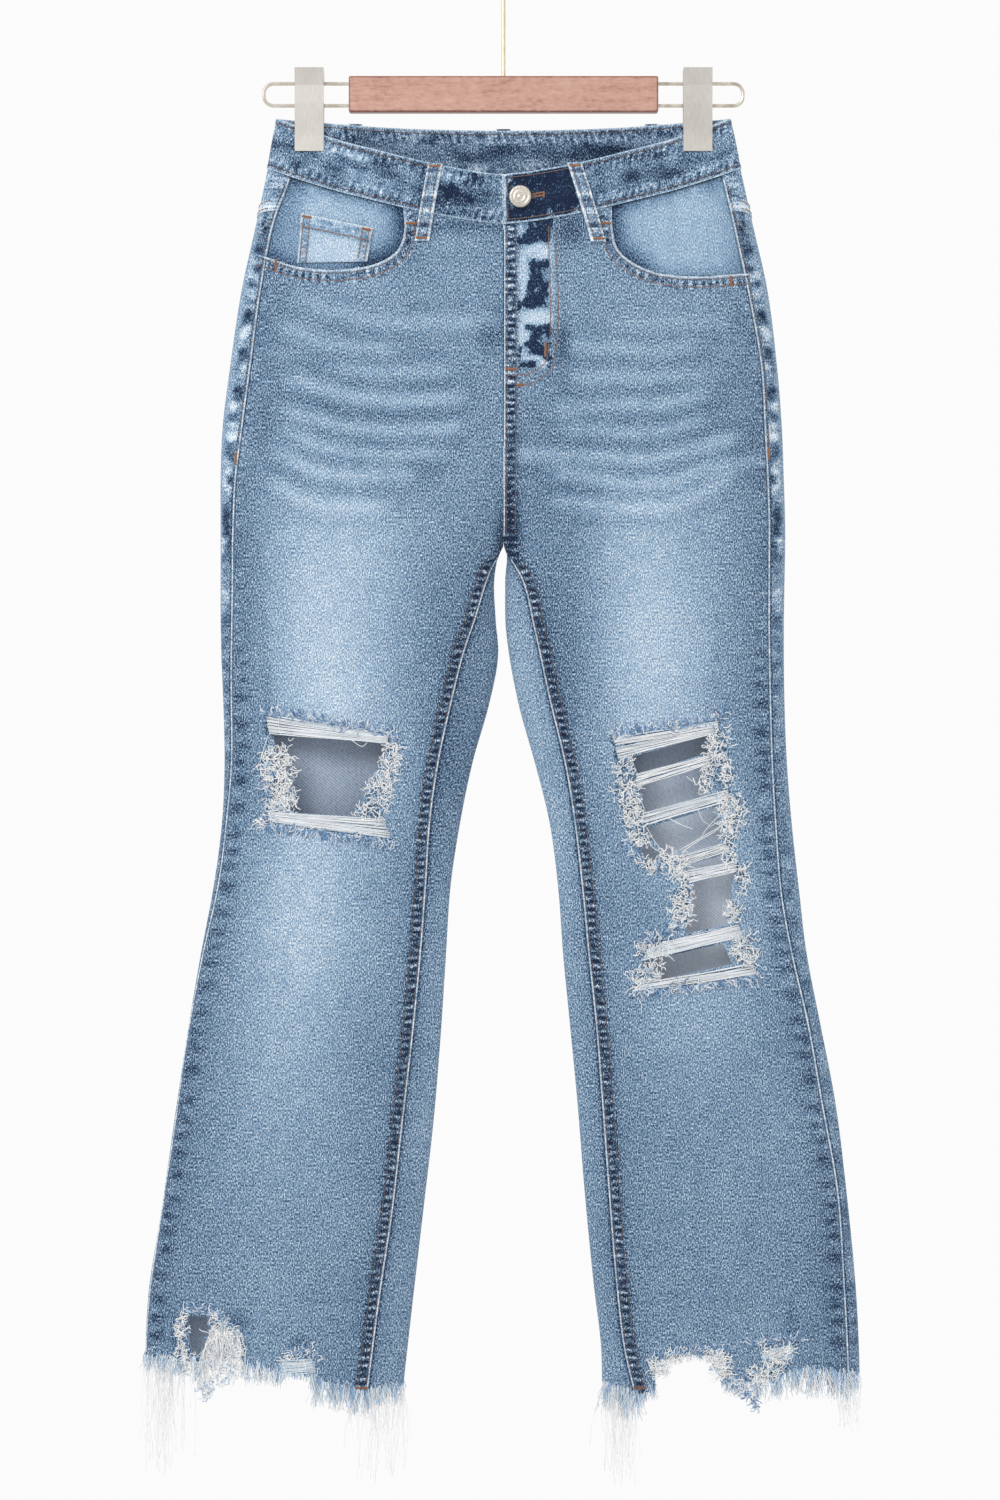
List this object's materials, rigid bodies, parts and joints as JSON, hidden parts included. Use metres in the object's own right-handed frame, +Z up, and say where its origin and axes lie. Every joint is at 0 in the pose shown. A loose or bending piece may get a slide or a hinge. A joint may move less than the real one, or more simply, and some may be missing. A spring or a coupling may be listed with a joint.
{
  "type": "ripped jeans on a trouser clip hanger",
  "caption": "Washed denim jeans with torn knees and frayed cropped flare hems, hung flat by the waistband from a wooden clip hanger.",
  "frame": {"origin": "inside the top of the hanger hook's bend, where it rests on a rail or a wall hook", "axes": "+Z up, the jeans' front faces -Y, +X to the wearer's left"},
  "size_m": [0.5426, 0.0435, 1.1847],
  "materials": {
    "denim": "stone-washed stretch denim, faded thighs and whiskers",
    "pale_denim": "paler washed denim",
    "cotton_fringe": "loose white and light blue cotton yarns",
    "zip_tape": "woven tape",
    "button_metal": "pale satin metal",
    "stained_wood": "thin reddish stain, satin",
    "pale_brass_wire": "pale gold wire",
    "brushed_nickel": "satin nickel"
  },
  "bodies": {
    "root": {"front_panel_r": "denim", "front_panel_l": "denim", "back_panel_r": "denim", "back_panel_l": "denim", "yoke_r": "denim", "yoke_l": "denim", "waistband": "denim", "pocket_facing_r": "pale_denim", "pocket_facing_l": "pale_denim", "coin_pocket": "pale_denim", "back_pocket_r": "denim", "back_pocket_l": "denim", "belt_loop_front_r": "denim", "belt_loop_front_l": "denim", "belt_loop_side_r": "denim", "belt_loop_side_l": "denim", "belt_loop_back": "denim", "fly_zip": "zip_tape", "button": "button_metal", "hem_fringe_r": "cotton_fringe", "hem_fringe_l": "cotton_fringe", "hanger_block": "stained_wood", "hanger_hook": "pale_brass_wire", "hanger_wire_r": "pale_brass_wire", "hanger_wire_l": "pale_brass_wire", "clip_r": "brushed_nickel", "clip_l": "brushed_nickel"}
  },
  "joints": []
}
